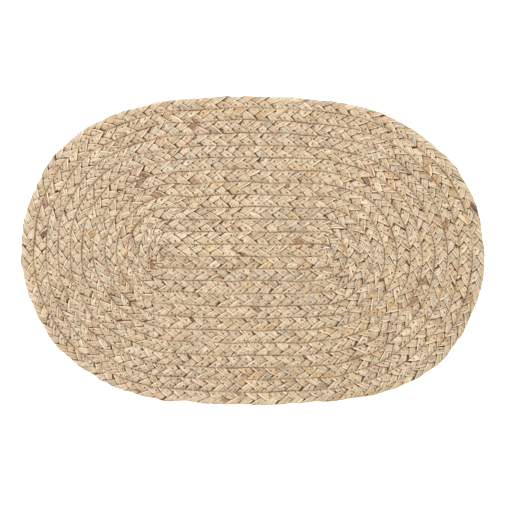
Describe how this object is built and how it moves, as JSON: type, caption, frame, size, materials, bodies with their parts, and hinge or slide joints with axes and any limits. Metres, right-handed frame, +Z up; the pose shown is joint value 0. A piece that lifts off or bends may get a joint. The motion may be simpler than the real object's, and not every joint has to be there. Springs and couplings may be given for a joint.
{
  "type": "oval water hyacinth placemat",
  "caption": "Flat oval placemat of one three-strand water hyacinth braid, wound from the middle and sewn row to row.",
  "frame": {"origin": "middle of the flat underside, on the surface that the mat lies on", "axes": "+X along the oval's long axis towards the end where the braid's tail finishes, +Z up out of the top face"},
  "size_m": [0.4488, 0.3, 0.0075],
  "materials": {
    "water_hyacinth": "dull dried plant stem in pale straw, cream and tan, with brown streaks"
  },
  "bodies": {
    "root": {"mat": "water_hyacinth"}
  },
  "joints": []
}
